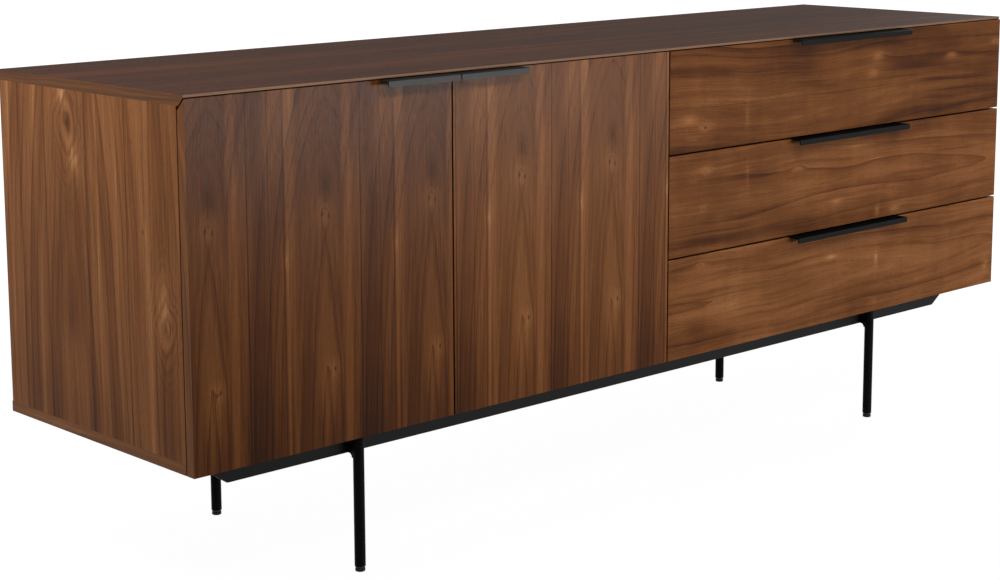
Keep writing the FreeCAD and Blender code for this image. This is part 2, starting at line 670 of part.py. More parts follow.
def leg(name, x, face, outward):
    """A round tube with the bracket that holds it in front of, or behind, its rail."""
    axis = f"({face} + {outward} * sizes.leg_offset)"
    foot = "(sizes.foot_high + sizes.foot_gap + sizes.bush_rim)"
    long = minus(UNDERSIDE, foot)
    tube = rod(name + "_tube", (x, axis, foot), "sizes.leg_radius", long)
    hollow = rod(name + "_hollow", (x, axis, foot), "(sizes.leg_radius - sizes.leg_wall)", long)
    half = "sizes.cross_thick / 2"
    sides = sorted((axis, face), key=sheet.evalExpression)
    bracket_low = (minus(x, half), sides[0], RAIL_BOTTOM)
    bracket = block(name + "_bracket", bracket_low, (plus(x, half), sides[1], UNDERSIDE))
    # the hollow corner under the bracket, against the tube
    wall = f"({axis} - {outward} * sizes.leg_radius)"
    edge = f"({wall} - {outward} * sizes.leg_fillet)"
    sides = sorted((axis, edge), key=sheet.evalExpression)
    corner_low = (minus(x, half), sides[0], minus(RAIL_BOTTOM, "sizes.leg_fillet"))
    corner = block(name + "_corner", corner_low, (plus(x, half), sides[1], RAIL_BOTTOM))
    sweep_start = (minus(x, half), edge, minus(RAIL_BOTTOM, "sizes.leg_fillet"))
    sweep = rod(name + "_sweep", sweep_start, "sizes.leg_fillet", "sizes.cross_thick", "x")
    gusset = cut(name + "_gusset", corner, sweep)
    return cut(name, fuse(name + "_solid", tube, bracket, gusset), hollow)


def leg_bush(x, axis):
    """The threaded bush pressed into the lower end of a leg, with its rim below the tube."""
    low = "(sizes.foot_high + sizes.foot_gap)"
    rim = rod("bush_rim", (x, axis, low), "sizes.bush_rim_radius", "sizes.bush_rim")
    core_start = (x, axis, plus(low, "sizes.bush_rim"))
    core = rod("bush_core", core_start, "(sizes.leg_radius - sizes.leg_wall)", "sizes.bush_long")
    bore_long = "(sizes.bush_rim + sizes.bush_long)"
    bore = rod("bush_bore", (x, axis, low), "(sizes.stud_radius + sizes.stud_play)", bore_long)
    return cut("leg_bush", fuse("bush", rim, core), bore)


def foot(name, x, axis):
    """A levelling foot: a chamfered pad on a threaded stud."""
    body = doc.addObject("PartDesign::Body", name)
    high, radius, chamfer = "sizes.foot_high", "sizes.foot_radius", "sizes.foot_chamfer"
    section = [
        ("0", "0"),
        (minus(radius, chamfer), "0"),
        (radius, chamfer),
        (radius, minus(high, chamfer)),
        (minus(radius, chamfer), high),
        ("sizes.stud_radius", high),
        ("sizes.stud_radius", plus(high, "sizes.stud_long")),
        ("0", plus(high, "sizes.stud_long")),
    ]
    sketch = outline(body, name + "_outline", "XZ_Plane", section)
    turned = body.newObject("PartDesign::Revolution", name + "_turned")
    turned.Profile = sketch
    turned.ReferenceAxis = (sketch, ["V_Axis"])
    turned.Angle = 360
    place(body, x, axis, "0")
    body.Label = name
    return body


def base_parts(screws):
    """Rails, cross rails, legs, bushes and feet."""
    front_face = plus(FRONT, "sizes.rail_front")
    rear_face = plus(FRONT, "sizes.rail_rear")
    left = plus(LEFT, "sizes.leg_inset")
    right = minus(RIGHT, "sizes.leg_inset")
    parts = [
        base_rail("front_rail", front_face, 1, screws),
        base_rail("rear_rail", rear_face, -1, screws),
        cross_rail("left_cross_rail", left),
        cross_rail("right_cross_rail", right),
    ]
    bushes = []
    for row, face, outward in (("front", front_face, -1), ("rear", rear_face, 1)):
        for side, x in (("left", left), ("right", right)):
            axis = f"({face} + {outward} * sizes.leg_offset)"
            parts.append(leg(f"{row}_{side}_leg", x, face, outward))
            parts.append(foot(f"{row}_{side}_foot", x, axis))
            bushes.append(leg_bush(x, axis))
    parts.append(group("leg_bushes", *bushes))
    return parts


# ---------------------------------------------------------------- assembly
DOOR_WIDE = "((sizes.door_bay - 1.5 * sizes.front_gap) / 2)"

dowels = case_dowels()
screws = base_screws()
parts = [dowels, screws]
parts.extend(case_parts(dowels, screws))
parts.extend(shelf_parts())
parts.extend(base_parts(screws))

left_edge = LEFT
right_edge = minus(DIVIDER, "(sizes.front_gap / 2)")
left_handle = plus(LEFT, DOOR_WIDE, "-sizes.door_handle")
right_handle = minus(right_edge, DOOR_WIDE)
# the right door covers half the divider, less half a gap
half_overlay = "((sizes.board - sizes.front_gap) / 2)"
left_moving, left_arms, left_plates = door("left", left_edge, 1, "sizes.board", left_handle)
right_moving, right_arms, right_plates = door("right", right_edge, -1, half_overlay, right_handle)
parts.extend(left_moving + right_moving)
parts.append(group("hinge_arms", *left_arms, *right_arms))
parts.append(group("hinge_plates", *left_plates, *right_plates))

case_rails = []
step = plus(DRAWER_HIGH, "sizes.front_gap")
for name, steps in (("top_drawer", 2), ("middle_drawer", 1), ("bottom_drawer", 0)):
    drawer_parts, rails = drawer(name, plus(UNDERSIDE, f"{steps} * {step}"), name == "top_drawer")
    parts.extend(drawer_parts)
    case_rails.extend(rails)
parts.append(group("runner_case_rails", *case_rails))

doc.recompute()

# ---------------------------------------------------------------- checks and files
for thing in doc.Objects:
    if "Invalid" in thing.State or "Error" in thing.State:
        raise RuntimeError(f"{thing.Name} ({thing.Label}) did not compute: {thing.State}")

os.makedirs("parts", exist_ok=True)
for part in parts:
    shape = part.Shape
    if shape.isNull() or not shape.isValid() or not shape.Solids:
        raise RuntimeError(f"{part.Label} has no valid solid")
for part in parts:
    part.Shape.exportStep(f"parts/{part.Label}.step")
print(len(parts), "parts written")
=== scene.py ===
import math

import bmesh
import bpy
from mathutils import Matrix, Vector


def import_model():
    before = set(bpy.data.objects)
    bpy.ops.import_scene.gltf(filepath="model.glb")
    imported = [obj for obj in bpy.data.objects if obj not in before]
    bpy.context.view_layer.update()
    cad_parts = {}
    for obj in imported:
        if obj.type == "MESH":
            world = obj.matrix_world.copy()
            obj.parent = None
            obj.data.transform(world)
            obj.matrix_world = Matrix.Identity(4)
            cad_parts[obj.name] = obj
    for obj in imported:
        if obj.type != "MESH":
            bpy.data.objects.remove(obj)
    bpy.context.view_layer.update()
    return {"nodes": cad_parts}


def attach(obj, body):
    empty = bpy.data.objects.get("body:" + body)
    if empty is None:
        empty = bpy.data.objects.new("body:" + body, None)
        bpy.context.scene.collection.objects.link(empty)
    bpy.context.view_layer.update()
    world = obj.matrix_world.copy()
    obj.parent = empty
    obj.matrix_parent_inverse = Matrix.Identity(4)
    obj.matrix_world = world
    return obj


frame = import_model()
NODES = frame["nodes"]

# Office credenza in walnut veneer on a black steel base.  Metres; X along the front, Y to the
# back, Z up.


# ---------------------------------------------------------------- node helpers
NOISE_REACH = 2.6  # spreads noise, which keeps close to its middle, over the size asked for


def tone(red, green, blue):
    """A colour written in display values from 0 to 255, as a linear colour."""
    linear = []
    for value in (red, green, blue):
        share = value / 255
        linear.append(share / 12.92 if share <= 0.04045 else ((share + 0.055) / 1.055) ** 2.4)
    return (*linear, 1.0)


class Shader:
    """A material and short names for the nodes that it is made of."""

    def __init__(self, name):
        self.material = bpy.data.materials.new(name)
        self.material.use_nodes = True
        self.tree = self.material.node_tree
        self.tree.nodes.clear()
        self.output = self.tree.nodes.new("ShaderNodeOutputMaterial")

    def put(self, socket, value):
        """Link a socket to another, or set its number."""
        if isinstance(value, bpy.types.NodeSocket):
            self.tree.links.new(value, socket)
        else:
            socket.default_value = value

    def math(self, operation, first, second=0.0, third=0.0):
        node = self.tree.nodes.new("ShaderNodeMath")
        node.operation = operation
        for socket, value in zip(node.inputs, (first, second, third)):
            self.put(socket, value)
        return node.outputs[0]

    def add(self, first, second):
        return self.math("ADD", first, second)

    def sub(self, first, second):
        return self.math("SUBTRACT", first, second)

    def mul(self, first, second):
        return self.math("MULTIPLY", first, second)

    def madd(self, first, second, third):
        """first * second + third"""
        return self.math("MULTIPLY_ADD", first, second, third)

    def falloff(self, far, power, rate=1.0):
        """1 where far is 0, then less and less: (1 + rate * far) ** -power."""
        return self.math("POWER", self.madd(far, rate, 1.0), -power)

    def faces(self, direction, least):
        """1 on the faces that look along an axis, either way, and 0 on the others."""
        return self.math("GREATER_THAN", self.math("ABSOLUTE", direction), least)

    def coordinates(self, output):
        """The three parts of "Object", the place, or "Normal", both in the object's own frame."""
        node = self.tree.nodes.new("ShaderNodeTexCoord")
        parts = self.tree.nodes.new("ShaderNodeSeparateXYZ")
        self.put(parts.inputs[0], node.outputs[output])
        return list(parts.outputs)

    def vector(self, x, y, z):
        node = self.tree.nodes.new("ShaderNodeCombineXYZ")
        for socket, value in zip(node.inputs, (x, y, z)):
            self.put(socket, value)
        return node.outputs[0]

    def stretched(self, parts, scales):
        """A vector with each part multiplied by a scale of its own."""
        return self.vector(*[self.mul(part, scale) for part, scale in zip(parts, scales)])

    def noise(self, vector, scale=1.0, detail=2.0, roughness=0.5):
        node = self.tree.nodes.new("ShaderNodeTexNoise")
        self.put(node.inputs["Vector"], vector)
        node.inputs["Scale"].default_value = scale
        node.inputs["Detail"].default_value = detail
        node.inputs["Roughness"].default_value = roughness
        return node.outputs["Fac"]

    def grain(self, across, along, shift, kind):
        """Noise stretched along the fibres.

        kind is (features per metre across, features per metre along, detail, roughness).
        """
        place = self.vector(self.mul(across, kind[0]), self.mul(along, kind[1]), shift)
        return self.noise(place, 1.0, *kind[2:])

    def swing(self, noise, size):
        """Noise moved to around zero, about as large as size each way."""
        return self.mul(self.sub(noise, 0.5), NOISE_REACH * size)

    def pick(self, mask, where_not, where):
        """One number where the mask is 0 and another where it is 1."""
        node = self.tree.nodes.new("ShaderNodeMix")
        node.data_type = "FLOAT"
        self.put(node.inputs[0], mask)
        self.put(node.inputs[2], where_not)
        self.put(node.inputs[3], where)
        return node.outputs[0]

    def blend(self, mask, first, second, mode="MIX"):
        """Two colours mixed by a mask."""
        node = self.tree.nodes.new("ShaderNodeMix")
        node.data_type = "RGBA"
        node.blend_type = mode
        self.put(node.inputs[0], mask)
        self.put(node.inputs[6], first)
        self.put(node.inputs[7], second)
        return node.outputs[2]

    def ramp(self, value, stops):
        node = self.tree.nodes.new("ShaderNodeValToRGB")
        elements = node.color_ramp.elements
        while len(elements) < len(stops):
            elements.new(0.5)
        for element, (spot, colour) in zip(elements, stops):
            element.position = spot
            element.color = colour
        self.put(node.inputs[0], value)
        return node.outputs[0]

    def step(self, value, low, high):
        """A smooth rise from 0 at low to 1 at high."""
        node = self.tree.nodes.new("ShaderNodeMapRange")
        node.interpolation_type = "SMOOTHSTEP"
        self.put(node.inputs["Value"], value)
        node.inputs["From Min"].default_value = low
        node.inputs["From Max"].default_value = high
        return node.outputs[0]

    def bump(self, height, distance, strength):
        node = self.tree.nodes.new("ShaderNodeBump")
        self.put(node.inputs["Height"], height)
        node.inputs["Distance"].default_value = distance
        node.inputs["Strength"].default_value = strength
        return node.outputs[0]

    def surface(self, colour, roughness, normal, **others):
        """The finished surface; every other value goes straight onto the shader."""
        shader = self.tree.nodes.new("ShaderNodeBsdfPrincipled")
        self.put(shader.inputs["Base Color"], colour)
        self.put(shader.inputs["Roughness"], roughness)
        self.put(shader.inputs["Normal"], normal)
        for name, value in others.items():
            self.put(shader.inputs[name.replace("_", " ")], value)
        self.put(self.output.inputs["Surface"], shader.outputs[0])
        return self.material


def seen_ray(tree):
    """1 on rays of the camera, of reflections and through glass, 0 on all others."""
    path = tree.nodes.new("ShaderNodeLightPath")
    seen = path.outputs["Is Camera Ray"]
    for ray in ("Is Glossy Ray", "Is Transmission Ray"):
        either = tree.nodes.new("ShaderNodeMath")
        either.operation = "MAXIMUM"
        tree.links.new(seen, either.inputs[0])
        tree.links.new(path.outputs[ray], either.inputs[1])
        seen = either.outputs[0]
    return seen


# ---------------------------------------------------------------- walnut veneer
# the wood from its darkest to its lightest
WALNUT = [
    (0.00, tone(40, 17, 4)),
    (0.25, tone(72, 37, 10)),
    (0.50, tone(105, 63, 29)),
    (0.75, tone(135, 88, 51)),
    (1.00, tone(172, 127, 84)),
]
RED_TINT = (0.94, 0.89, 0.86, 1)
PORE = tone(38, 21, 13)
KNOT_CORE = tone(34, 18, 11)
# a pale brown painted on the top board's edges: painted highlight
EDGE_HIGHLIGHT = tone(168, 140, 118)

# kinds of noise for the grain: features per metre across and along the fibres, detail, roughness
SLOW_WANDER = (3.0, 1.6, 2.0, 0.5)
QUICK_WANDER = (22.0, 5.0, 3.0, 0.5)
KNOT_RIM = (400.0, 300.0, 2.0, 0.5)
KNOT_BEND = (30.0, 18.0, 2.0, 0.5)
BROAD_RINGS = (24.0, 0.7, 2.0, 0.55)
FINE_RINGS = (120.0, 2.0, 3.0, 0.6)
LATE_WOOD = (30.0, 1.2, 1.0, 0.5)
HUE = (15.0, 0.5, 2.0, 0.5)
FIBRE = (900.0, 14.0, 3.0, 0.6)
STREAK = (260.0, 2.0, 3.0, 0.6)
CLOUD = (14.0, 5.0, 3.0, 0.5)
BAR = (12.0, 34.0, 2.0, 0.5)
PORES = (1900.0, 90.0, 1.0, 0.5)

FACE_LEAST, END_LEAST = 0.6, 0.8  # parts of the normal that tell veneered faces and ends
FACE_SHIFT, END_SHIFT = -3.7, 1.9  # give each kind of face a noise of its own
LEAF_DRIFT = 0.05  # and each leaf nearly the same one
FINE_SHARE, FIBRE_SHARE = 0.65, 0.36  # how much fine rings and fibres show
LARGE_KNOT = 0.015  # a knot above this size has rings of its own


def knotted(s, knots, pull, local, along, drift, ring):
    """The rings bent around the knots, the dark cores of the knots and what lies around them."""
    core, halo = 0.0, 0.0
    for knot_across, knot_along, size, dark, pale in knots:
        wide = s.mul(s.sub(local, knot_across), 1 / size)
        long = s.mul(s.sub(along, knot_along), 0.5 / size)
        far = s.add(s.mul(wide, wide), s.mul(long, long))
        ring = s.madd(s.falloff(far, 1.6), -size * pull, ring)
        rim = s.swing(s.grain(local, along, drift, KNOT_RIM), 0.10)
        ragged = s.madd(rim, s.add(far, 0.2), far)
        core = s.madd(s.falloff(ragged, 2.0, 16.0), dark, core)
        halo = s.madd(s.falloff(far, 2.0, 0.8), pale, halo)
        if size > LARGE_KNOT:
            bent = s.add(wide, s.swing(s.grain(local, along, drift, KNOT_BEND), 0.8))
            eye = s.add(*[s.math("POWER", s.math("ABSOLUTE", way), 1.25) for way in (bent, long)])
            oval = s.mul(s.math("PINGPONG", s.madd(eye, 1.3, 0.2), 0.5), 1.8)
            dark_rings = s.mul(s.mul(oval, oval), s.falloff(far, 3.0, 0.16))
            halo = s.madd(dark_rings, -0.34, halo)
    return ring, core, halo


def marked(s, bands, flares, near, along, marks):
    """The bands and flares added to the marks on a face."""
    for middle, half, strength in bands:
        off = s.math("ABSOLUTE", s.sub(near, middle))
        marks = s.madd(s.step(off, half * 1.4, half * 0.4), strength, marks)
    for flare_across, flare_along, wide, long, strength in flares:
        out = s.mul(s.sub(near, flare_across), 1 / wide)
        up = s.mul(s.sub(along, flare_along), 1 / long)
        far = s.add(s.mul(out, out), s.mul(up, up))
        marks = s.madd(s.falloff(far, 2.5), strength, marks)
    return marks


def walnut(name, face, grain, seed, leaf=None, heart=0.0, climb=(0.05, 0.6), lift=0.0, knots=(),
           flares=(), bands=(), light=0.0, warp=0.012, figure=0.6, lines=(55.0, 0.12),
           clouds=0.25, bars=0.0, streaks=0.55, rough=0.42, gloss=0.10, point=1.4, pull=0.9,
           edge_light=0.0, end_light=0.0, edge_highlight=(0.0, 0.0)):
    """Veneer with annual rings, fibres and pores.

    face is the axis that the veneered faces look along and grain the axis of their fibres; the
    other faces carry edge banding.  leaf is the width of a veneer leaf and the place of one
    joint.  heart is where the middle of the log lies across a leaf, and climb (a, k) tells how
    the cut leaves the heart along the grain, a * exp(k * along), which draws the pointed arches;
    lift moves all of it along the grain.  point shapes the arches, from 1 for a sharp tip to 2
    for a round one, and pull is how far a knot bends them.
    light moves the whole tone.  figure, clouds, bars and streaks are how strong each of them
    is, lines is (late wood lines per metre, strength) and warp how far the fibres wander.
    edging and ends paint light and shade onto the edge banding, along the grain and across it: a
    painted highlight above 0 and painted shade below 0.  faded mixes a pale brown into both, a
    painted highlight.
    A knot is (across, along, size, dark, light), a flare (across, along, width, length,
    strength) and a band (across, half width, strength), all measured across from the heart.
    """
    s = Shader(name)
    place, normal = s.coordinates("Object"), s.coordinates("Normal")
    thick, length = "xyz".index(face), "xyz".index(grain)
    width = 3 - thick - length
    main = s.faces(normal[thick], FACE_LEAST)
    end = s.faces(normal[length], END_LEAST)
    across = s.pick(main, place[thick], place[width])
    along = s.sub(s.pick(end, place[length], place[width]), lift)
    depth = s.madd(main, FACE_SHIFT, s.madd(end, END_SHIFT, seed))

    # the leaves of a slip-matched veneer repeat, with a small drift from one to the next
    if leaf:
        turns = s.mul(s.sub(across, leaf[1]), 1 / leaf[0])
        local = s.sub(s.mul(s.math("FRACT", turns), leaf[0]), heart)
        drift = s.madd(s.math("FLOOR", turns), LEAF_DRIFT, depth)
    else:
        local = s.sub(across, heart)
        drift = depth

    # wandering of the fibres
    slow = s.swing(s.grain(local, along, drift, SLOW_WANDER), warp)
    quick = s.swing(s.grain(local, along, drift, QUICK_WANDER), warp * 0.13)
    line = s.add(s.add(local, slow), quick)

    # distance from the heart of the log, and the knots that bend the rings around themselves
    away = s.mul(s.math("POWER", math.exp(climb[1]), along), climb[0])
    away = s.add(away, s.swing(s.noise(s.vector(s.mul(along, 3.0), drift, 3.1)), 0.004))
    beside = s.math("POWER", s.math("ABSOLUTE", line), point)
    ring = s.math("POWER", s.add(beside, s.math("POWER", away, point)), 1 / point)
    ring, core, halo = knotted(s, knots, pull, local, along, drift, ring)

    # broad bands, fine bands and thin dark late wood in the rings; fibres, streaks and pores
    broad = s.grain(ring, along, drift, BROAD_RINGS)
    fine = s.grain(ring, along, drift, FINE_RINGS)
    wander = s.grain(ring, along, drift, LATE_WOOD)
    saw = s.math("FRACT", s.add(s.mul(ring, lines[0]), s.mul(wander, 2.0)))
    late = s.mul(s.madd(saw, 0.25, s.math("POWER", saw, 8.0)), s.step(wander, 0.30, 0.60))
    fibre = s.grain(line, along, depth, FIBRE)
    streak = s.grain(line, along, depth, STREAK)
    cloud = s.grain(line, along, s.add(drift, 4.0), CLOUD)
    pores = s.step(s.grain(line, along, depth, PORES), 0.58, 0.72)

    # from dark to light, first the grain and then the marks
    parts = [(fine, FINE_SHARE * figure), (streak, streaks), (fibre, FIBRE_SHARE), (cloud, clouds)]
    if bars:
        parts.append((s.grain(line, along, s.add(drift, 9.0), BAR), bars))
    level = s.madd(s.sub(broad, 0.5), figure, 0.5 + light)
    for part, strength in parts:
        level = s.add(level, s.mul(s.sub(part, 0.5), strength))
    level = s.sub(level, s.mul(late, lines[1]))
    beside_grain = s.madd(main, -1.0, s.madd(end, -1.0, 1.0))
    # painted light and shade on the edge faces: lighter above 0, darker below 0
    if edge_light or end_light:
        level = s.madd(beside_grain, edge_light, s.madd(end, end_light, level))
    # among the flares are painted shade low on the doors and the side, and painted sheen on the
    # bottom drawer
    if bands or flares or knots:
        near = s.madd(slow, 0.25, s.add(local, quick))
        level = s.madd(marked(s, bands, flares, near, along, halo), main, level)

    colour = s.ramp(level, WALNUT)
    hue = s.grain(ring, along, s.add(drift, 7.0), HUE)
    colour = s.blend(s.step(hue, 0.35, 0.70), colour, RED_TINT, "MULTIPLY")
    colour = s.blend(s.mul(pores, 0.45), colour, PORE)
    if knots:
        colour = s.blend(s.mul(s.math("MINIMUM", core, 1.0), main), colour, KNOT_CORE)
    # a pale brown mixed into the edge faces: painted highlight
    if any(edge_highlight):
        share = s.madd(beside_grain, edge_highlight[0], s.mul(end, edge_highlight[1]))
        colour = s.blend(share, colour, EDGE_HIGHLIGHT)

    height = s.sub(s.mul(fibre, 0.6), pores)
    roughness = s.add(s.madd(fibre, 0.10, rough), s.mul(pores, 0.12))
    return s.surface(colour, roughness, s.bump(height, 0.00012, 0.5), Specular_IOR_Level=gloss)


# ---------------------------------------------------------------- other materials
def painted(name, colour, worn, rough, gloss, dust=0.0):
    """Powder-coated metal: a fine orange peel and a little rubbing.

    dust dulls the faces that look up.
    """
    s = Shader(name)
    place = s.vector(*s.coordinates("Object"))
    peel = s.noise(place, 2600.0, 2.0, 0.5)
    clouds = s.noise(place, 14.0, 3.0, 0.6)
    rubs = s.step(s.noise(place, 90.0, 4.0, 0.7), 0.60, 0.78)
    mixed = s.blend(s.mul(s.step(clouds, 0.35, 0.70), 0.5), tone(*colour), tone(*worn))
    mixed = s.blend(s.mul(rubs, 0.25), mixed, tone(*worn))
    roughness = s.madd(s.sub(clouds, 0.5), 0.16, s.madd(peel, 0.06, rough))
    if dust:
        up = s.coordinates("Normal")[2]
        dusty = s.mul(s.step(up, 0.5, 0.8), dust)
        roughness = s.madd(dusty, 0.4, roughness)
        gloss = s.madd(dusty, -gloss, gloss)
    return s.surface(mixed, roughness, s.bump(peel, 0.00006, 0.5), Specular_IOR_Level=gloss)


def zinc(name, colour, axis, rough=0.33):
    """Zinc-plated or rolled steel with fine lines along an axis."""
    s = Shader(name)
    place = s.coordinates("Object")
    scales = [30.0 if letter == axis else 900.0 for letter in "xyz"]
    lines = s.noise(s.stretched(place, scales), 1.0, 3.0, 0.6)
    clouds = s.noise(s.vector(*place), 40.0, 3.0, 0.6)
    bright = tone(*colour)
    dull = tone(*[value * 0.80 for value in colour])
    mixed = s.blend(s.madd(lines, 0.7, s.mul(clouds, 0.3)), dull, bright)
    roughness = s.madd(clouds, 0.16, s.madd(lines, 0.12, rough - 0.12))
    return s.surface(mixed, roughness, s.bump(lines, 0.00004, 0.4), Metallic=1.0)


BIRCH = [(0.2, tone(196, 164, 122)), (0.8, tone(226, 200, 160))]
BIRCH_FLECK = tone(168, 130, 90)
BIRCH_LAYERS = [(0.35, tone(150, 112, 74)), (0.65, tone(214, 184, 140))]
LAYER = 0.003  # from the middle of one dark layer to the middle of the next pale one


def plywood(name, grain, layers):
    """Birch plywood: pale figured faces, and layers on the edges stacked along an axis."""
    s = Shader(name)
    axes = dict(zip("xyz", s.coordinates("Object")))
    normals = dict(zip("xyz", s.coordinates("Normal")))
    other = [axis for axis in "xyz" if axis not in (grain, layers)][0]
    along, through = axes[grain], axes[layers]
    flow = s.swing(s.noise(s.vector(s.mul(along, 2.0), s.mul(axes[other], 6.0), 1.3)), 0.02)
    across = s.add(axes[other], flow)
    rings = s.noise(s.vector(s.mul(along, 1.5), s.mul(across, 55.0), 0.4), 1.0, 3.0, 0.6)
    fibre = s.noise(s.stretched((along, across, through), (18.0, 800.0, 800.0)))
    fleck = s.noise(s.vector(s.mul(along, 90.0), s.mul(across, 700.0), 2.2), 1.0, 1.0)
    face = s.ramp(s.madd(s.sub(fibre, 0.5), 0.5, rings), BIRCH)
    face = s.blend(s.mul(s.step(fleck, 0.62, 0.75), 0.35), face, BIRCH_FLECK)
    saw = s.math("PINGPONG", s.mul(through, 1 / LAYER), 1.0)
    stripes = s.ramp(s.madd(s.sub(fibre, 0.5), 0.25, saw), BIRCH_LAYERS)
    colour = s.blend(s.faces(normals[layers], 0.5), stripes, face)
    roughness = s.madd(fibre, 0.15, 0.45)
    return s.surface(colour, roughness, s.bump(fibre, 0.0001, 0.4), Specular_IOR_Level=0.3)


def plastic(name, colour):
    """Moulded plastic with a fine matt texture."""
    s = Shader(name)
    place = s.vector(*s.coordinates("Object"))
    grit = s.noise(place, 4200.0, 2.0, 0.6)
    clouds = s.noise(place, 60.0, 3.0, 0.6)
    scuffs = s.step(s.noise(place, 260.0, 3.0, 0.7), 0.58, 0.74)
    lighter = tone(*[min(255, value + 22) for value in colour])
    mixed = s.blend(s.mul(scuffs, 0.3), tone(*colour), lighter)
    roughness = s.madd(clouds, 0.2, s.madd(grit, 0.08, 0.42))
    return s.surface(mixed, roughness, s.bump(grit, 0.00008, 0.5), Specular_IOR_Level=0.15)


BEECH = [(0.3, tone(190, 146, 104)), (0.7, tone(220, 182, 138))]
BEECH_FLECK = tone(150, 104, 68)


def rod_wood(name):
    """Beech with short flecks, for the dowels."""
    s = Shader(name)
    place = s.coordinates("Object")
    fibre = s.noise(s.stretched(place, (900.0, 900.0, 40.0)))
    fleck = s.noise(s.stretched(place, (700.0, 700.0, 160.0)), 1.0, 1.0)
    colour = s.ramp(fibre, BEECH)
    colour = s.blend(s.mul(s.step(fleck, 0.6, 0.7), 0.5), colour, BEECH_FLECK)
    return s.surface(colour, s.madd(fibre, 0.2, 0.5), s.bump(fibre, 0.0001, 0.4))


# ---------------------------------------------------------------- marks in the veneer
# each mark is placed across from the heart of its leaf or board, then along the grain
DOOR_KNOTS = [
    (-0.006, 0.533, 0.010, 1.0, 0.22),
    (0.005, 0.529, 0.009, 1.0, 0.16),
    (0.012, 0.318, 0.009, 1.0, 0.20),
    (-0.065, 0.490, 0.012, 0.0, 0.06),
]
DOOR_FLARES = [
    # broad and dark, low on both doors: painted shade towards the bottom
    (0.000, 0.200, 0.500, 0.150, -0.12),
    (0.000, 0.300, 0.024, 0.130, 0.26),
    (-0.066, 0.478, 0.006, 0.018, 0.18),
    (0.000, 0.575, 0.012, 0.035, -0.22),
    (0.000, 0.470, 0.022, 0.060, 0.08),
]
DOOR_BANDS = [
    (-0.152, 0.008, 0.12),
    (-0.129, 0.0012, -0.26),
    (-0.112, 0.014, -0.12),
    (-0.0945, 0.0010, -0.14),
    (-0.070, 0.0012, -0.16),
    (-0.065, 0.0024, 0.15),
    (-0.057, 0.007, 0.12),
]
SIDE_KNOTS = [
    (0.000, 0.650, 0.022, 0.5, 0.30),
    (-0.225, 0.402, 0.020, 0.6, 0.25),
    (-0.177, 0.522, 0.007, 1.0, 0.10),
]
SIDE_FLARES = [
    # broad and dark, low on the side: painted shade towards the bottom
    (0.000, 0.240, 0.300, 0.100, -0.12),
    (0.014, 0.690, 0.016, 0.020, 0.40),
    (-0.014, 0.600, 0.018, 0.035, 0.40),
    (0.000, 0.650, 0.006, 0.012, -0.50),
    (-0.222, 0.440, 0.020, 0.050, 0.25),
    (0.000, 0.380, 0.020, 0.080, -0.16),
]
SIDE_BANDS = [
    (0.160, 0.004, 0.14),
    (0.130, 0.003, -0.16),
    (0.085, 0.006, 0.12),
    (0.062, 0.002, -0.18),
    (-0.045, 0.004, -0.16),
    (-0.070, 0.004, 0.12),
    (-0.115, 0.006, 0.12),
    (-0.140, 0.002, -0.20),
    (-0.190, 0.005, 0.14),
]
TOP_KNOTS = [
    (-0.022, 0.085, 0.009, 1.0, 0.25),
    (-0.036, 0.055, 0.007, 0.6, 0.15),
    (0.063, 0.533, 0.011, 0.15, 0.36),
    (0.034, 0.520, 0.008, 0.25, 0.28),
    (0.050, 0.750, 0.009, 0.4, 0.34),
    (0.066, 0.888, 0.008, 0.4, 0.30),
]
TOP_FLARES = [
    (0.040, 0.640, 0.012, 0.100, -0.34),
    (0.022, 0.600, 0.004, 0.120, -0.20),
    (0.075, 0.420, 0.020, 0.060, 0.16),
    (-0.008, 0.045, 0.014, 0.022, 0.26),
    (-0.010, 0.187, 0.026, 0.006, 0.16),
    (0.006, 0.740, 0.005, 0.180, -0.30),
    (-0.014, 0.760, 0.003, 0.160, -0.18),
    (-0.040, 0.600, 0.010, 0.060, -0.16),
]
TOP_BANDS = [(0.0105, 0.0007, -0.16)]
MIDDLE_KNOTS = [
    (0.048, 0.087, 0.007, 0.7, 0.22),
    (0.037, 0.057, 0.006, 0.8, 0.18),
    (-0.012, 0.082, 0.006, 0.6, 0.18),
    (0.028, 0.320, 0.009, 0.0, 0.20),
    (-0.072, 0.590, 0.008, 0.5, 0.25),
]
MIDDLE_FLARES = [
    (0.055, 0.085, 0.018, 0.045, 0.16),
    (-0.040, 0.425, 0.007, 0.024, 0.26),
    (-0.068, 0.540, 0.014, 0.010, 0.32),
    (-0.065, 0.110, 0.010, 0.150, -0.24),
    (-0.052, 0.100, 0.003, 0.130, -0.18),
    (0.030, 0.190, 0.026, 0.006, 0.16),
    (0.034, 0.220, 0.030, 0.060, -0.14),
    (0.052, 0.480, 0.005, 0.070, 0.18),
    (-0.010, 0.700, 0.003, 0.150, -0.16),
    (0.020, 0.780, 0.003, 0.120, -0.14),
]
BOTTOM_KNOTS = [
    (0.063, 0.077, 0.006, 0.7, 0.16),
    (-0.005, 0.580, 0.006, 0.5, 0.20),
    (-0.065, 0.535, 0.006, 0.4, 0.18),
    (-0.045, 0.887, 0.006, 0.8, 0.20),
]
BOTTOM_FLARES = [
    # wide and pale, on the left of the drawer: painted sheen
    (0.000, 0.150, 0.090, 0.160, 0.16),
    (0.029, 0.415, 0.007, 0.022, 0.34),
    (0.008, 0.540, 0.020, 0.008, 0.26),
    (-0.047, 0.876, 0.016, 0.012, 0.24),
    (0.014, 0.110, 0.006, 0.160, -0.20),
    (0.006, 0.130, 0.003, 0.180, -0.18),
    (0.020, 0.400, 0.006, 0.110, -0.16),
    (0.044, 0.160, 0.010, 0.120, -0.16),
    (-0.040, 0.060, 0.020, 0.060, -0.16),
    (-0.050, 0.300, 0.020, 0.120, 0.12),
]


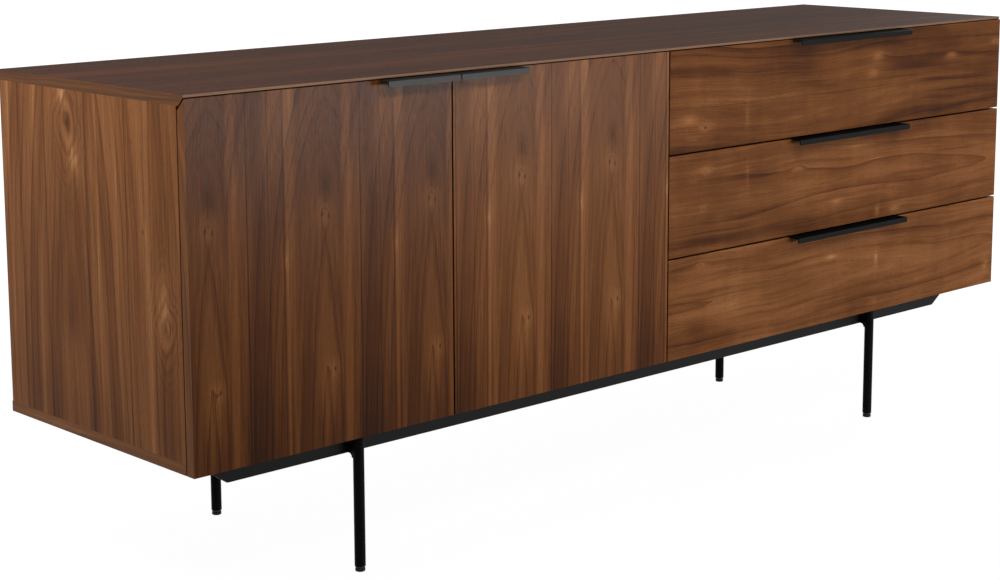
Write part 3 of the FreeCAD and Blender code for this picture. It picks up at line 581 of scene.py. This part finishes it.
# ---------------------------------------------------------------- the materials
LEAF = 0.189  # width of a leaf of door veneer
DOOR_VENEER = {
    "heart": 0.1625, "climb": (0.0036, 4.5), "knots": DOOR_KNOTS, "flares": DOOR_FLARES,
    "bands": DOOR_BANDS, "warp": 0.007, "figure": 0.40, "lines": (62.0, 0.21), "streaks": 0.15,
    "rough": 0.23,
}
# one veneer for both doors: the left door's lower light is painted shade, its lighter edges a
# painted highlight, and the right door's darker edges painted shade in the gaps
left_door_wood = walnut("walnut_left_door", "y", "z", 2.0, (LEAF, -1.030), light=-0.16,
                        gloss=0.06, edge_light=0.20, **DOOR_VENEER)
right_door_wood = walnut("walnut_right_door", "y", "z", 2.0, (LEAF, -0.667), lift=0.014,
                         light=-0.02, gloss=0.055, edge_light=-0.35, **DOOR_VENEER)
side_wood = walnut("walnut_side", "x", "z", 5.0, heart=0.06, climb=(0.012, 2.6),
                   knots=SIDE_KNOTS, flares=SIDE_FLARES, bands=SIDE_BANDS, light=0.07,
                   figure=0.58, lines=(70.0, 0.16), streaks=0.42, gloss=0.06, pull=1.5)
right_side_wood = walnut("walnut_right_side", "x", "z", 6.4, heart=-0.05, climb=(0.012, 2.6),
                         light=0.06, lines=(90.0, 0.20), streaks=0.7)
# light far below 0 darkens the top board: painted shade on the face that looks up; edging, ends
# and faded lighten its edges: painted highlight
top_wood = walnut("walnut_top", "z", "x", 9.0, heart=0.30, light=-0.44, figure=0.45, warp=0.02,
                  rough=0.50, clouds=0.15, gloss=0.014, edge_light=0.24, end_light=0.22,
                  edge_highlight=(0.40, 0.12))
bottom_wood = walnut("walnut_bottom", "z", "x", 11.0, heart=-0.2, light=-0.05)
inner_wood = walnut("walnut_inner", "x", "z", 13.0, leaf=(0.22, -0.02), heart=0.1)
shelf_wood = walnut("walnut_shelf", "z", "x", 15.0, heart=-0.3)
back_wood = walnut("walnut_back", "y", "z", 17.0, leaf=(0.25, 0.05), heart=0.1)
drawer_woods = {}
# light rises from the top drawer to the bottom one: painted light on the lower drawers; edging and
# ends below 0 darken the edge faces: painted shade in the gaps
for drawer, seed, heart, light, knots, flares, bands in (
    ("top_drawer", 21.0, 0.600, -0.085, TOP_KNOTS, TOP_FLARES, TOP_BANDS),
    ("middle_drawer", 24.0, 0.460, 0.02, MIDDLE_KNOTS, MIDDLE_FLARES, ()),
    ("bottom_drawer", 27.0, 0.295, 0.085, BOTTOM_KNOTS, BOTTOM_FLARES, ()),
):
    drawer_woods[drawer] = walnut(
        "walnut_" + drawer, "y", "x", seed, heart=heart, climb=(0.02, 0.9), knots=knots,
        flares=flares, bands=bands, light=light, warp=0.030, figure=0.62, lines=(45.0, 0.24),
        clouds=0.6, bars=0.14, streaks=0.20, gloss=0.045, point=1.7, edge_light=-0.25, end_light=-0.25)

# all handles have one paint; shaded_charcoal, the drawer handles' copy, is painted darker: painted
# shade
charcoal = painted("charcoal_coat", (22, 21, 20), (38, 37, 35),
                   rough=0.34, gloss=0.14, dust=0.96)
shaded_charcoal = painted("shaded_charcoal_coat", (10, 10, 9), (20, 19, 18),
                        rough=0.42, gloss=0.04, dust=0.92)
# lit_rail_coat is the black coat painted lighter for the rails: painted sheen
lit_rail_coat = painted("lit_rail_coat", (13, 13, 12), (23, 22, 21), rough=0.45, gloss=0.08)
black = painted("black_coat", (5, 5, 5), (11, 11, 11), rough=0.45, gloss=0.03)
zinc_y = zinc("zinc_rolled", (176, 178, 182), "y")
zinc_z = zinc("zinc_turned", (150, 146, 140), "z")
bronze = zinc("browned_steel", (62, 50, 38), "z", rough=0.5)
ply_sides = plywood("birch_sides", "y", "x")
ply_backs = plywood("birch_backs", "x", "y")
ply_bottoms = plywood("birch_bottoms", "x", "z")
foot_plastic = plastic("black_foot", (12, 12, 12))
beech = rod_wood("beech")


# ---------------------------------------------------------------- dressing the carried-over solids
WELD_REACH = 0.00001
SHARP_ANGLE = math.radians(35)
BOARD_ARRIS, CASE_ARRIS = 0.0005, 0.0004
RAIL_ARRIS, SHEET_ARRIS, FOLDED_ARRIS, TUBE_ARRIS = 0.0002, 0.0003, 0.0004, 0.0006


def dress(node, material, arris=0.0):
    """Give a carried-over solid its material and, where it has one, its small rounded arris."""
    piece = NODES[node]
    piece.data.materials.clear()
    piece.data.materials.append(material)
    if arris:
        weld = piece.modifiers.new("weld", "WELD")
        weld.merge_threshold = WELD_REACH
        bevel = piece.modifiers.new("arris", "BEVEL")
        bevel.width = arris
        bevel.segments = 2
        bevel.limit_method = "ANGLE"
        bevel.angle_limit = SHARP_ANGLE
        bevel.harden_normals = True


dress("left_door", left_door_wood, BOARD_ARRIS)
dress("right_door", right_door_wood, BOARD_ARRIS)
dress("left_side_panel", side_wood, CASE_ARRIS)
dress("right_side_panel", right_side_wood, CASE_ARRIS)
dress("top_panel", top_wood, BOARD_ARRIS)
dress("bottom_panel", bottom_wood, BOARD_ARRIS)
dress("divider_panel", inner_wood, CASE_ARRIS)
dress("shelf", shelf_wood, BOARD_ARRIS)
dress("back_panel", back_wood, CASE_ARRIS)
dress("case_dowels", beech)
for drawer, wood in drawer_woods.items():
    dress(drawer + "_front", wood, BOARD_ARRIS)
    dress(drawer + "_left_side", ply_sides, BOARD_ARRIS)
    dress(drawer + "_right_side", ply_sides, BOARD_ARRIS)
    dress(drawer + "_back", ply_backs, BOARD_ARRIS)
    dress(drawer + "_bottom", ply_bottoms)
    dress(drawer + "_box_rails", zinc_y, RAIL_ARRIS)
    dress(drawer + "_middle_rails", zinc_y, RAIL_ARRIS)
    dress(drawer + "_handle", shaded_charcoal, SHEET_ARRIS)
dress("runner_case_rails", zinc_y, RAIL_ARRIS)
for side in ("left", "right"):
    dress(side + "_door_handle", charcoal, SHEET_ARRIS)
    dress(side + "_hinge_cups", zinc_z)
    dress(side + "_cross_rail", black, TUBE_ARRIS)
dress("hinge_arms", zinc_y, FOLDED_ARRIS)
dress("hinge_plates", zinc_y, SHEET_ARRIS)
dress("shelf_pins", zinc_y, SHEET_ARRIS)
dress("base_screws", zinc_z)
dress("front_rail", lit_rail_coat, FOLDED_ARRIS)
dress("rear_rail", lit_rail_coat, FOLDED_ARRIS)
dress("leg_bushes", bronze, SHEET_ARRIS)
for end in ("front_left", "front_right", "rear_left", "rear_right"):
    dress(end + "_leg", black)
    dress(end + "_foot", foot_plastic)


# ---------------------------------------------------------------- screw heads of the hinges
MM = 1000  # millimetres in a metre
# rows of a screw head from its middle to its rim, close together along the cross recess
HEAD_ROWS = [0.10, 0.14, 0.28, 0.42, 0.52, 0.58, 0.74, 0.88, 1.0]
SLOT_HALF_WIDTH, SLOT_SIDE = 0.14, 0.04  # shares of the radius
SLOT_HALF_LENGTH, SLOT_END = 0.58, 0.06
SLOT_DEPTH, RIM_HEIGHT, DOME_HEIGHT = 0.55, 0.55, 0.45  # shares of the height
DOME_FALL = 0.95
TURN = 1.1  # radians from one screw to the next, so that no two stand alike


def clamp(value):
    return min(1.0, max(0.0, value))


def head_height(x, y):
    """Height of a pan head with a cross recess, as a share, at a place within its unit circle."""
    thin, long = sorted((abs(x), abs(y)))
    cut = clamp((SLOT_HALF_WIDTH - thin) / SLOT_SIDE) * clamp((SLOT_HALF_LENGTH - long) / SLOT_END)
    dome = RIM_HEIGHT + DOME_HEIGHT * math.sqrt(max(0.0, 1 - DOME_FALL * (x * x + y * y)))
    return dome - SLOT_DEPTH * cut


def screw_heads(name, body, heads):
    """Screw heads as one piece; a head is (place, direction, radius, height) in millimetres."""
    steps = [-value for value in reversed(HEAD_ROWS)] + [0.0] + HEAD_ROWS
    last = len(steps) - 1
    border = [(0, j) for j in range(last)] + [(i, last) for i in range(last)]
    border += [(last, j) for j in range(last, 0, -1)] + [(i, 0) for i in range(last, 0, -1)]
    shape = bmesh.new()
    for number, (place, direction, radius, height) in enumerate(heads):
        turn = Matrix.Rotation(TURN * number, 4, "Z")
        aim = Vector(direction).to_track_quat("Z", "Y").to_matrix().to_4x4()
        put = Matrix.Translation(Vector(place) / MM) @ aim @ turn
        rows = []
        for u in steps:
            row = []
            for v in steps:
                # the square grid pressed into a circle
                x, y = u * math.sqrt(1 - v * v / 2), v * math.sqrt(1 - u * u / 2)
                local = Vector((x * radius, y * radius, head_height(x, y) * height)) / MM
                row.append(shape.verts.new(put @ local))
            rows.append(row)
        for i in range(last):
            for j in range(last):
                corners = (rows[i][j], rows[i + 1][j], rows[i + 1][j + 1], rows[i][j + 1])
                shape.faces.new(corners)
        # the straight side from the rim down to the seat
        inverse = put.inverted()
        rim = [rows[i][j] for i, j in border]
        seat = []
        for vert in rim:
            local = inverse @ vert.co
            local.z = 0.0
            seat.append(shape.verts.new(put @ local))
        for k in range(len(rim)):
            shape.faces.new((rim[k - 1], rim[k], seat[k], seat[k - 1]))
    bmesh.ops.recalc_face_normals(shape, faces=shape.faces)
    mesh = bpy.data.meshes.new(name)
    shape.to_mesh(mesh)
    shape.free()
    mesh.materials.append(zinc_z)
    piece = bpy.data.objects.new(name, mesh)
    bpy.context.scene.collection.objects.link(piece)
    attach(piece, body)


HINGE_LEVELS = (302.0, 615.0)
PLATE_SPREAD, CUP_SPREAD = (-13.5, 13.5), (-23.0, 23.0)  # below and above the hinge's level
PLATE_HEAD, FRONT_HEAD, REAR_HEAD, CUP_HEAD = (3.2, 1.6), (2.4, 1.2), (2.8, 1.4), (3.0, 1.1)
TO_RIGHT, TO_LEFT, TO_BACK = (1, 0, 0), (-1, 0, 0), (0, 1, 0)

hinge_heads = []
for level in HINGE_LEVELS:
    for offset in PLATE_SPREAD:
        hinge_heads.append(((-882.0, -164.0, level + offset), TO_RIGHT, *PLATE_HEAD))
        hinge_heads.append(((-10.5, -164.0, level + offset), TO_LEFT, *PLATE_HEAD))
    hinge_heads.append(((-873.0, -171.0, level), TO_RIGHT, *FRONT_HEAD))
    hinge_heads.append(((-873.0, -159.0, level), TO_RIGHT, *REAR_HEAD))
    hinge_heads.append(((-19.5, -160.0, level), TO_LEFT, *REAR_HEAD))
screw_heads("hinge_screws", "case", hinge_heads)
for side, across in (("left", -878.5), ("right", -23.0)):
    cup_heads = [((across, -202.8, level + offset), TO_BACK, *CUP_HEAD)
                 for level in HINGE_LEVELS for offset in CUP_SPREAD]
    screw_heads(side + "_cup_screws", side + "_door", cup_heads)


# ---------------------------------------------------------------- floor, light and camera
FLOOR_RADIUS = 30.0
FLOOR_GREY = 0.26
FLOOR_GLOW = 1.11
FADE_NEAR, FADE_FAR = 1.0, 2.2  # distances between which the floor turns plain white
LEAST_GLOW = 0.88  # share of plain white under the object
ROOM_LIGHT = 0.17


def floor():
    """A wide pale floor that keeps the object's shadow and fades to plain white around it."""
    mesh = bpy.data.meshes.new("floor")
    shape = bmesh.new()
    bmesh.ops.create_circle(shape, cap_ends=True, segments=96, radius=FLOOR_RADIUS)
    shape.to_mesh(mesh)
    shape.free()
    piece = bpy.data.objects.new("floor", mesh)
    bpy.context.scene.collection.objects.link(piece)
    s = Shader("pale_floor")
    x, y = s.coordinates("Object")[:2]
    far = s.math("SQRT", s.add(s.mul(x, x), s.mul(y, y)))
    white = s.madd(s.step(far, FADE_NEAR, FADE_FAR), 1 - LEAST_GLOW, LEAST_GLOW)
    matt = s.tree.nodes.new("ShaderNodeBsdfDiffuse")
    matt.inputs["Color"].default_value = (FLOOR_GREY, FLOOR_GREY, FLOOR_GREY, 1)
    glow = s.tree.nodes.new("ShaderNodeEmission")
    glow.inputs["Strength"].default_value = FLOOR_GLOW
    mix = s.tree.nodes.new("ShaderNodeMixShader")
    s.put(mix.inputs[0], s.mul(white, seen_ray(s.tree)))
    s.put(mix.inputs[1], matt.outputs[0])
    s.put(mix.inputs[2], glow.outputs[0])
    s.put(s.output.inputs["Surface"], mix.outputs[0])
    mesh.materials.append(s.material)


def world():
    """Soft light all round, seen as plain white by the camera."""
    made = bpy.data.worlds.new("studio")
    bpy.context.scene.world = made
    made.use_nodes = True
    tree = made.node_tree
    tree.nodes.clear()
    output = tree.nodes.new("ShaderNodeOutputWorld")
    mix = tree.nodes.new("ShaderNodeMixShader")
    tree.links.new(seen_ray(tree), mix.inputs[0])
    for socket, strength in ((mix.inputs[1], ROOM_LIGHT), (mix.inputs[2], 1.0)):
        light = tree.nodes.new("ShaderNodeBackground")
        light.inputs["Color"].default_value = (1, 1, 1, 1)
        light.inputs["Strength"].default_value = strength
        tree.links.new(light.outputs[0], socket)
    tree.links.new(mix.outputs[0], output.inputs["Surface"])


def lamp(name, spot, target, size, watts):
    """A soft box at a spot that looks at a target; size is its width and height."""
    data = bpy.data.lights.new(name, "AREA")
    data.shape = "RECTANGLE"
    data.size, data.size_y = size
    data.energy = watts
    piece = bpy.data.objects.new(name, data)
    bpy.context.scene.collection.objects.link(piece)
    piece.location = spot
    piece.rotation_mode = "QUATERNION"
    piece.rotation_quaternion = (Vector(target) - Vector(spot)).to_track_quat("-Z", "Y")


# the camera as solved from the photo, with its angles in degrees
CAMERA_PLACE = (-2.34359, -2.35360, 1.00090)
YAW, PITCH, ROLL = (math.radians(angle) for angle in (42.91396, 9.20476, -0.22452))
CAMERA_LENS = 73.6625
CAMERA_SHIFT = -0.10


def camera():
    """The camera of the photo: turned to the right, tipped down and rolled by very little."""
    data = bpy.data.cameras.new("camera")
    data.sensor_fit = "HORIZONTAL"
    data.sensor_width = 36.0
    data.lens = CAMERA_LENS
    data.shift_y = CAMERA_SHIFT
    data.clip_start, data.clip_end = 0.05, 100.0
    piece = bpy.data.objects.new("camera", data)
    bpy.context.scene.collection.objects.link(piece)
    level = math.cos(PITCH)
    ahead = Vector((math.sin(YAW) * level, math.cos(YAW) * level, -math.sin(PITCH)))
    right = Vector((math.cos(YAW), -math.sin(YAW), 0.0))
    up = right.cross(ahead)
    turned_right = right * math.cos(ROLL) + up * math.sin(ROLL)
    turned_up = up * math.cos(ROLL) - right * math.sin(ROLL)
    axes = Matrix((turned_right, turned_up, -ahead)).transposed()
    piece.matrix_world = Matrix.Translation(CAMERA_PLACE) @ axes.to_4x4()
    bpy.context.scene.camera = piece


# name, place, target, width and height, watts
LAMPS = (
    ("key", (0.25, -1.45, 1.75), (-0.1, -0.2, 0.68), (1.3, 0.25), 11.2),
    ("sheen", (1.4, -2.7, 0.36), (1.4, -0.2, 0.36), (2.0, 0.25), 44.0),
    ("left", (-0.75, -1.15, 1.35), (-0.68, -0.2, 0.70), (0.5, 0.2), 7.0),
    ("low", (1.9, -1.9, 0.4), (0.8, -0.2, 0.3), (0.8, 0.4), 2.0),
    ("side", (-1.70, 0.1, 1.60), (-0.9, 0.02, 0.66), (0.9, 0.3), 21.0),
    ("right", (3.2, 0.4, 1.5), (0.9, 0.0, 0.45), (1.2, 0.9), 45.0),
    ("back", (-1.5, 3.5, 1.9), (0.1, 0.2, 0.45), (1.8, 1.0), 75.0),
)

bpy.context.scene.view_settings.view_transform = "Standard"
floor()
world()
for settings in LAMPS:
    lamp(*settings)
camera()
